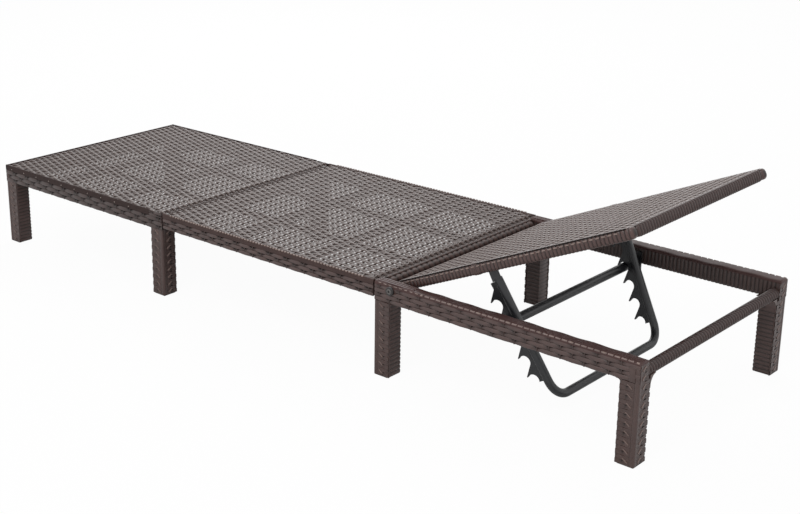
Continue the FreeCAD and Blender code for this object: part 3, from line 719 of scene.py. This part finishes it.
def leg(node, x_out, y_out, rise):
    """Leg wound with strand; its outer faces have a smooth corner strand and slanted stake crossings."""
    low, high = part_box(node)
    x_face = high.x if x_out > 0 else low.x
    y_face = high.y if y_out > 0 else low.y
    side = LEG + LEG_WRAP
    low = Vector((min(x_face, x_face - x_out * side), min(y_face, y_face - y_out * side), low.z - LEG_DROP))
    high = Vector((low.x + side, low.y + side, high.z))
    inner_low, inner_high = Vector(low), Vector(high)
    for axis, out in ((0, x_out), (1, y_out)):
        if out > 0:
            inner_high[axis] -= LEG_DEEP
        else:
            inner_low[axis] += LEG_DEEP
    pieces = [wound_box(node + "_turns", inner_low, inner_high, 2, RIB, soft=1.5 * MM, crown=1.2 * MM)]
    tall = high.z - low.z
    # smooth strand up the outer corner
    edge = LEG_CORNER
    centre = Vector((x_face - x_out * edge / 2, y_face - y_out * edge / 2, low.z + (tall + rise) / 2))
    corner = bar(node + "_corner", (edge, edge, tall + rise), centre)
    bevel(corner, 3.2 * MM, 3,
          lambda e: along(2)(e) and (e[0] - Vector((x_face, y_face, e[0].z))).length < 1e-5)
    bevel(corner, 0.7 * MM, 1,
          lambda e: along(2)(e) and min((p - centre).xy.length for p in e) > 0.66 * edge)
    pieces.append(corner)
    if node.startswith("end_leg"):
        plate = bar(node + "_corner_plate", (CORNER_PLATE, 1.4 * MM, rise - 6 * MM),
                    (x_face - x_out * (edge + CORNER_PLATE / 2 - 0.5 * MM), y_face + y_out * 0.1 * MM,
                     low.z + tall + rise / 2 - 2 * MM))
        bevel(plate, 0.6 * MM, 2, lambda e: all(y_out * (p.y - y_face) > 0 for p in e))
        pieces.append(plate)
    shade_sheets, stakes = [], []
    span = side - edge
    for outward, along_face, lean in ((Vector((0, y_out, 0)), Vector((-x_out, 0, 0)), y_out),
                                      (Vector((x_out, 0, 0)), Vector((0, -y_out, 0)), x_out)):
        origin = Vector((x_face, y_face, low.z)) + along_face * edge - outward * LEG_SKIN
        corner_end = -1
        if along_face.cross(Vector((0, 0, 1))).dot(outward) < 0:
            origin, along_face = origin + along_face * span, -along_face
            corner_end = 1
        frame_of = side_matrix(origin, along_face, (0, 0, 1))
        face = leg_face(node, span, tall, STAKE_LEAN * lean, corner_end, bool(outward.x))
        for piece, kept in zip(face, (pieces, shade_sheets, stakes)):
            kept.append(set_down(piece, frame_of))
        if rise and outward.x:
            rail_end = origin + Vector((0, 0, tall)) + along_face * (0 if y_out < 0 else RISE_TRIM)
            frame_of = side_matrix(rail_end, along_face, (0, 0, 1))
            face = leg_face(node, span - RISE_TRIM, rise, STAKE_LEAN * lean, corner_end, True)
            for piece, kept in zip(face, (pieces, shade_sheets, stakes)):
                kept.append(set_down(piece, frame_of))
    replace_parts(dressed(joined(node + "_wrap", pieces), LEG_STRAND, "frame"), node)
    # Near-black sheets of painted shade in the holes; the stakes in a lighter strand are painted highlights
    dressed(joined(node + "_holes", shade_sheets), PAINTED_SHADE, "frame")
    dressed(joined(node + "_stakes", stakes), STAKE_HIGHLIGHT_STRAND, "frame")


def leg_face(node, span, tall, lean, corner_end, outer_end):
    """Braided face of a leg: turns that sink at its middle or its sides, a slanted stake beside each hole,
    over a near-black sheet of painted shade.
    """
    rows = max(2, round(tall / RIB))
    pitch, step = tall / rows, span / 2
    pieces = []
    dips = LEG_END_DIPS if outer_end else LEG_DIPS
    broad = 4 * MM if outer_end else 2.2 * MM

    def calm(x):
        """Share of the wave that is left: none beside the corner strand."""
        return min(1, max(0, 2 * (x if corner_end < 0 else span - x) / step - 0.5))

    for number in (0, 1):
        sign = 1 - 2 * number
        run = strand(node + "_row", span, *LEG_STRIP,
                     lambda x: sign * calm(x) * math.cos(math.pi * x / step), **dips)
        set_down(run, Matrix.Translation((0, (number + 0.5) * pitch, 0)))
        pieces.append(arrayed(run, (rows + 1 - number) // 2, (0, 2 * pitch, 0)))
    backing = bar(node + "_backing", (4 * MM, tall, 1.8 * MM),
                  ((span - 1.3 * MM if corner_end < 0 else 1.3 * MM), tall / 2, -1.6 * MM))
    bevel(backing, 0.4 * MM, 1, along(1))
    pieces.append(backing)
    stake = bar(node + "_stake", (STAKE_LONG, broad, 2 * MM), (0, 0, 0))
    bevel(stake, 0.7 * MM, 2, lambda e: e[0].z > 0 and e[1].z > 0)
    turn = Matrix.Rotation(lean, 4, "Z")
    set_down(stake, Matrix.Translation((step + corner_end * STAKE_SHIFT, pitch, 0.8 * MM)) @ turn)
    arrayed(stake, rows // 2, (0, 2 * pitch, 0))
    shade_sheet = bar(node + "_ground", (span - 1 * MM, tall, 0.5 * MM), (span / 2, tall / 2, -1.9 * MM))
    bevel(shade_sheet, 0.2 * MM, 1, along(0))
    return joined(node + "_braid", pieces), shade_sheet, stake


def flares(node, y_out):
    """Hollow curves under the rail and under the end tube, beside an end leg."""
    low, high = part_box(node)
    under_rail = core(node, FLARE_INSET, RAIL_STRAND)
    trim(under_rail, high.x - LEG + 1 * MM, 0)
    under_rail.name = node + "_flare"
    deep, tall, top = FLARE_DEEP, FLARE_TALL, high.z + FLARE_LIFT
    inner = (high if y_out < 0 else low).y - y_out * LEG_WRAP
    centre = (high.x - FLARE_BACK, inner - y_out * deep / 2, top - tall / 2)
    under_tube = bar(node, (FLARE_WIDE, deep, tall), centre)
    subdivide(under_tube, 2, FLARE_CUTS)
    for point in under_tube.data.vertices:
        rise = (point.co.z - high.z - FLARE_LIFT + tall) / tall
        if y_out * (inner - point.co.y) > deep / 2:
            point.co.y = inner - y_out * (0.2 * MM + deep * (1 - math.sqrt(max(0, 1 - rise ** 2))))
    under_tube.name = node + "_tube_flare"
    dressed(under_tube, RAIL_STRAND, "frame")


for name, x_out in (("foot_leg", -1), ("inner_leg", 1), ("head_leg", -1), ("end_leg", 1)):
    for side, y_out in (("front", -1), ("back", 1)):
        leg(f"{name}_{side}", x_out, y_out, CORNER_RISE.get(name, 0))
        if name == "end_leg":
            flares(f"{name}_{side}", y_out)


def head_rail(side, sign):
    """Side rail of the head frame: woven outside, smooth rounded top, upright turns inside."""
    node = f"head_rail_{side}"
    low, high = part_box(node)
    length = high.x - low.x
    y_out = (low if sign < 0 else high).y
    inner_low, inner_high = Vector(low), Vector(high)
    inner_high.z -= CAP_SINK
    inner_high.x -= FACE_DEEP
    if sign < 0:
        inner_low.y += FACE_DEEP
    else:
        inner_high.y -= FACE_DEEP
    turns = wound_box(node + "_wrap", inner_low, inner_high, 0, RIB, RAIL_SOFT, crown=1.5 * MM)
    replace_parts(dressed(turns, INNER_STRAND, "frame"), node)
    start = Vector((low.x if sign < 0 else high.x, y_out - sign * SKIN, low.z + FACE_GAP))
    woven_face(node + "_weave", start, (-sign, 0, 0), length, high.z - CAP_TALL - start.z, HEAD_ROWS,
               RAIL_STRAND, HEAD_FACE_DIPS)
    cap = bar(node + "_top", (length, high.y - low.y, CAP_TALL + 1 * MM),
              ((low.x + high.x) / 2, (low.y + high.y) / 2, high.z - (CAP_TALL + 1 * MM) / 2))
    bevel(cap, 6.5 * MM, 5,
          lambda e: min(p.z for p in e) > high.z - 1 * MM and (along(0)(e) or e[0].x > high.x - 1 * MM))
    subdivide(cap, 0, CAP_CUTS)
    for point in cap.data.vertices:
        # two waves of unlike length make the top uneven
        ripple = math.sin(point.co.x * 87 + sign) * 0.7 + math.sin(point.co.x * 33 + 1.3) * 0.3
        point.co.z -= CAP_RIPPLE * (0.5 + 0.5 * ripple) * max(0, (point.co.z - high.z + CAP_TALL) / CAP_TALL)
    dressed(cap, CAP_STRAND, "frame")
    stitched = 8
    near = (stitched + 1) * STITCH_PITCH
    gleams, knots = int((length - near) / GLEAM_PITCH) - 1, int((length - near) / KNOT_PITCH) + 1
    # The edge gleams are painted sheen along the top edge, in the pale sheen strand
    for label, start_x, pitch, count, size, look in (
            ("stitches", STITCH_PITCH, STITCH_PITCH, stitched, (7, 1.6, 1.6), STITCH),
            ("edge_gleams", near + 14 * MM, GLEAM_PITCH, gleams, (11, 3, 3), SHEEN_STRAND),
            ("knots", near, KNOT_PITCH, knots, (5, 3.6, 3.6), STITCH)):
        first = Vector((low.x + start_x, y_out - sign * 1.6 * MM, high.z - 3.0 * MM))
        size = [part * MM for part in size]
        stitches(f"{node}_{label}", first, (1, 0, 0), pitch, count, size, "frame", look=look)
    for number in range(3):
        first = Vector((low.x + 52 * MM, y_out - sign * (8 + 7 * number) * MM, high.z - 1.2 * MM))
        stitches(f"{node}_cap_strand_{number}", first, (1, 0, 0), length, 1, CAP_RUN, "frame",
                 look=CAP_STRAND)


head_rail("front", -1)
head_rail("back", 1)


def wrapped_tube(node, pitch, material):
    """Round tube across the frame wound with strand: a ring per turn."""
    low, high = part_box(node)
    radius = (high.z - low.z) / 2
    length = high.y - low.y
    count = round(length / pitch)
    step = length / count
    swell = TUBE_SWELL
    deselect()
    bpy.ops.mesh.primitive_cylinder_add(vertices=20, radius=radius - swell, depth=step,
                                        end_fill_type="NOTHING")
    turn = bpy.context.object
    subdivide(turn, 2, TURN_CUTS)
    dips = turn.data.attributes.new("dip_shade", "FLOAT", "POINT")
    for point, dip_shade in zip(turn.data.vertices, dips.data):
        # painted shade between the rings
        dip_shade.value = abs(2 * point.co.z / step) ** 2
        out = swell * math.sqrt(max(0, 1 - (1.96 * point.co.z / step) ** 2))
        flat = Vector((point.co.x, point.co.y, 0))
        flat = flat * ((flat.length + out) / flat.length)
        point.co.x, point.co.y = flat.x, flat.y
        point.co.z += 0.12 * flat.x
    arrayed(turn, count, (0, 0, step))
    centre = (low + high) / 2
    start = (centre.x, low.y + step / 2, centre.z)
    turn.name = node + "_wrap"
    set_down(turn, Matrix.Translation(start) @ Matrix.Rotation(-math.pi / 2, 4, "X"))
    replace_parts(dressed(turn, material, "frame", 40), node)


wrapped_tube("head_end_tube", TUBE_TURN, HEAD_RIM_STRAND)


def backrest():
    """Backrest in its flat frame: open weave between wound edges, then turned about the hinge."""
    hinge = joint_at["backrest_hinge"]
    turn = Matrix.Translation(hinge) @ Matrix.Rotation(-BACK_ANGLE, 4, "Y")
    flat = turn.inverted()

    def flat_box(node):
        points = [flat @ v.co for v in nodes[node].data.vertices]
        return (Vector([min(p[i] for p in points) for i in range(3)]),
                Vector([max(p[i] for p in points) for i in range(3)]))

    low, high = flat_box("backrest_deck")
    rim = BACK_RIM
    length, width = high.x - low.x - 2 * rim, high.y - low.y - 2 * rim
    sheet = woven("backrest_weave", length, width, BACK_CROSSES, BACK_ROWS, BACK_STRIP, BACK_CORD, BACK_DIPS)
    set_down(sheet, turn @ Matrix.Translation((low.x + rim, low.y + rim, (low.z + high.z) / 2)))
    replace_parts(dressed(sheet, BACK_SHEEN_STRAND, "backrest"), "backrest_deck")
    top = high.z - 0.6 * MM
    for end in ("front", "back", "hinge", "head"):
        node = "backrest_tube_" + end
        start, stop = flat_box(node)
        axis = 0 if end in ("front", "back") else 1
        soft = 6 * MM
        stop.z = top
        if end == "hinge":
            soft = 3 * MM
            stop.z = low.z + 2 * MM
        edge = wound_box(node + "_wrap", start, stop, axis, RIB, soft, crown=2.6 * MM, nose=0.5)
        set_down(edge, turn)
        look = HEAD_RIM_STRAND if end == "head" else RIM_STRAND
        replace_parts(dressed(edge, look, "backrest"), node)
    for side, sign in (("front", -1), ("back", 1)):
        start, stop = flat_box("backrest_tube_" + side)
        pad = Vector((0, 0.8 * MM, 0.8 * MM))
        strap = wound_box(f"prop_strap_{side}", Vector((STRAP[0], start.y, start.z)) - pad,
                          Vector((STRAP[1], stop.y, top)) + pad, 0, STRAP_PITCH, soft=5 * MM, crown=1.2 * MM)
        dressed(set_down(strap, turn), RIM_STRAND, "backrest")
        y = (start if sign < 0 else stop).y - sign * 0.1 * MM
        first = Vector((low.x + BACK_STITCH_START, y, top - 6.5 * MM))
        count = int((length - BACK_STITCH_FREE) / BACK_STITCH_PITCH)
        stitches(f"backrest_stitches_{side}", first, (1, 0, 0), BACK_STITCH_PITCH, count, BACK_STITCH,
                 "backrest", turn)
        # A near-black cord along the rim's top: a painted shadow line under the weave's edge
        middle = Vector(((low.x + high.x) / 2, y - sign * 1.4 * MM, top - 1.6 * MM))
        size = (length - 16 * MM, SHADOW_LINE, SHADOW_LINE)
        stitches(f"backrest_shadow_line_{side}", middle, (1, 0, 0), length, 1, size, "backrest", turn, PAINTED_SHADE)


backrest()


def rod(radius, deep, z=0.0, sides=28):
    """Cylinder primitive along Z, with its middle at a height."""
    deselect()
    bpy.ops.mesh.primitive_cylinder_add(vertices=sides, radius=radius, depth=deep, location=(0, 0, z))
    bpy.ops.object.transform_apply(location=True, rotation=True, scale=True)
    return bpy.context.object


def pivot_bolt_heads():
    """Shoulder bolts at the hinge: a flange and a round head with a socket, on both side rails."""
    x, z = joint_at["backrest_hinge"].x, joint_at["backrest_hinge"].z
    low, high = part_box("pivot_bolts")
    top = BOLT_HEAD[1] / 2
    pieces, flanges = [], []
    for sign, y in ((-1, low.y), (1, high.y)):
        head = rod(*BOLT_HEAD)
        select_in(head, "FACE", lambda c: all(p.z > top - 1e-6 for p in c))
        bpy.ops.mesh.inset(thickness=BOLT_SOCKET[0], depth=0)
        bpy.ops.mesh.extrude_region_move(TRANSFORM_OT_translate={"value": (0, 0, -BOLT_SOCKET[1])})
        leave()
        bevel(head, 1.0 * MM, 3, lambda e: all(p.z > top - 1e-6 and p.xy.length > 5 * MM for p in e))
        flange = rod(*BOLT_FLANGE)
        bevel(flange, 1.2 * MM, 3, lambda e: all(p.z > 0.9 * MM for p in e))
        shank = rod(*BOLT_SHANK, sides=20)
        way = Matrix.Rotation(math.pi / 2 * (1 if sign < 0 else -1), 4, "X")
        place = Matrix.Translation((x, y - sign * top, z)) @ way
        pieces.append(set_down(joined("pivot_bolt", [head, shank]), place))
        flanges.append(set_down(flange, place))
    dressed(joined("pivot_bolt_flanges", flanges), PLASTIC, "frame", 40)
    heads = joined("pivot_bolt_heads", pieces)
    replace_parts(dressed(heads, FASTENER, "frame", 40), "pivot_bolts")


pivot_bolt_heads()

# Finishes of the CAD pieces that stay as they are
FINISH = {
    "prop_tube": BLACK_STEEL, "notch_plate_front": BLACK_STEEL, "notch_plate_back": BLACK_STEEL,
    "prop_bar": BLACK_STEEL, "bar_bracket_front": BLACK_STEEL, "bar_bracket_back": BLACK_STEEL,
    "foot_cross_tubes": TUBE_COAT, "foot_long_tubes": TUBE_COAT, "mid_cross_tubes": TUBE_COAT,
    "mid_long_tubes": TUBE_COAT, "backrest_cross_tubes": TUBE_COAT,
    "join_bolts": FASTENER, "join_nuts": FASTENER, "prop_bolts": FASTENER,
    "pivot_bushes": PLASTIC, "join_pads": PLASTIC, "leg_glides": PLASTIC,
}
for name, material in FINISH.items():
    mesh = nodes[name].data
    mesh.materials.clear()
    mesh.materials.append(material)


def surroundings():
    """Pale floor, white surround, soft lamps and the photo's camera."""
    scene = bpy.context.scene
    scene.view_settings.view_transform = "Standard"
    world = bpy.data.worlds.new("surround")
    scene.world = world
    world.use_nodes = True
    tree = world.node_tree
    sky = tree.nodes["Background"]
    path = tree.nodes.new("ShaderNodeLightPath")
    seen = tree.nodes.new("ShaderNodeMath")
    seen.operation = "MAXIMUM"
    tree.links.new(path.outputs["Is Camera Ray"], seen.inputs[0])
    tree.links.new(path.outputs["Is Glossy Ray"], seen.inputs[1])
    level = tree.nodes.new("ShaderNodeMapRange")
    level.inputs["To Min"].default_value = SKY_LIGHT
    level.inputs["To Max"].default_value = SKY_SEEN
    tree.links.new(seen.outputs[0], level.inputs["Value"])
    tree.links.new(level.outputs[0], sky.inputs["Strength"])
    sky.inputs["Color"].default_value = (1, 1, 1, 1)

    deselect()
    bpy.ops.mesh.primitive_plane_add(size=FLOOR_SIZE)
    floor = bpy.context.object
    floor.name = "floor"
    shade = Shade("pale_floor")
    ray = shade.node("LightPath", out=0)
    lit = shade.node("BsdfDiffuse", {}, {"Color": (FLOOR_TONE, FLOOR_TONE, FLOOR_TONE, 1)})
    glow = shade.node("Emission", {}, {"Color": (1, 1, 1, 1), "Strength": 1.0})
    mixed = shade.node("MixShader", {}, {0: ray * FLOOR_GLOW, 1: lit, 2: glow})
    floor.data.materials.append(shade.surface(mixed))

    for name, place, size, power in LAMPS:
        lamp = bpy.data.lights.new(name, "AREA")
        lamp.energy = power
        lamp.size = size
        holder = bpy.data.objects.new(name, lamp)
        holder.location = place
        holder.rotation_euler = (LAMP_AIM - Vector(place)).to_track_quat("-Z", "Y").to_euler()
        scene.collection.objects.link(holder)

    lens = bpy.data.cameras.new("photo_camera")
    lens.sensor_width = SENSOR
    lens.lens = FOCAL / PHOTO_SIZE[0] * SENSOR
    lens.shift_x = (PHOTO_SIZE[0] / 2 - CENTRE[0]) / PHOTO_SIZE[0]
    lens.shift_y = (CENTRE[1] - PHOTO_SIZE[1] / 2) / PHOTO_SIZE[0]
    camera = bpy.data.objects.new("photo_camera", lens)
    camera.location = CAMERA_AT
    camera.rotation_euler = tuple(math.radians(a) for a in CAMERA_TURN)
    scene.collection.objects.link(camera)
    scene.camera = camera


surroundings()
